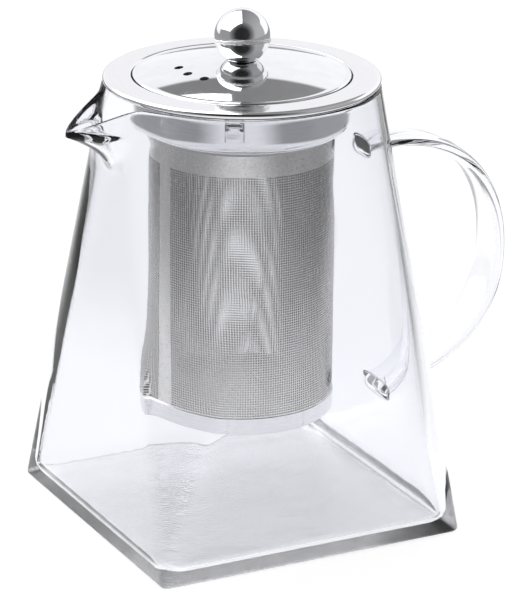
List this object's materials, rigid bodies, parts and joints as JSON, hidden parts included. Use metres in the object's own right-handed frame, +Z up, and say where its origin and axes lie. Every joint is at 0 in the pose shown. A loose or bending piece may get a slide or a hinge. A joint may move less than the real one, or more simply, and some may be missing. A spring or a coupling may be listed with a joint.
{
  "type": "tea infuser",
  "caption": "Square-based clear glass tea infuser jug with strap handle and pulled lip, a lift-out steel mesh basket in its mouth, and a domed steel lid with a ball knob.",
  "frame": {"origin": "centre of the jug's square base, on the plane it rests on", "axes": "+Z up; +X towards the handle and -X towards the pouring lip; +Y across the handle"},
  "size_m": [0.1596, 0.1088, 0.1715],
  "materials": {
    "clear_glass": "clear polished borosilicate glass",
    "mirror_steel": "mirror polished stainless steel",
    "polished_steel": "bright drawn stainless steel sheet",
    "strainer_steel": "satin stainless steel sheet with fine etched holes",
    "plain_steel": "plain turned steel"
  },
  "bodies": {
    "jug": {"jug_body": "clear_glass", "jug_handle": "clear_glass"},
    "infuser": {"strainer_collar": "polished_steel", "mesh_sleeve": "strainer_steel", "mesh_floor": "strainer_steel", "basket_ring": "polished_steel"},
    "lid": {"lid_dome": "mirror_steel", "lid_skirt": "strainer_steel", "knob_upper_shell": "mirror_steel", "knob_lower_shell": "mirror_steel", "knob_boss": "plain_steel", "knob_washer": "plain_steel", "knob_screw": "plain_steel"}
  },
  "joints": [
    {"name": "infuser_lift", "type": "slide", "parent": "jug", "child": "infuser", "axis": [0, 0, 1], "range_m": [0, 0.125]},
    {"name": "lid_lift", "type": "slide", "parent": "infuser", "child": "lid", "axis": [0, 0, 1], "range_m": [0, 0.04]}
  ]
}
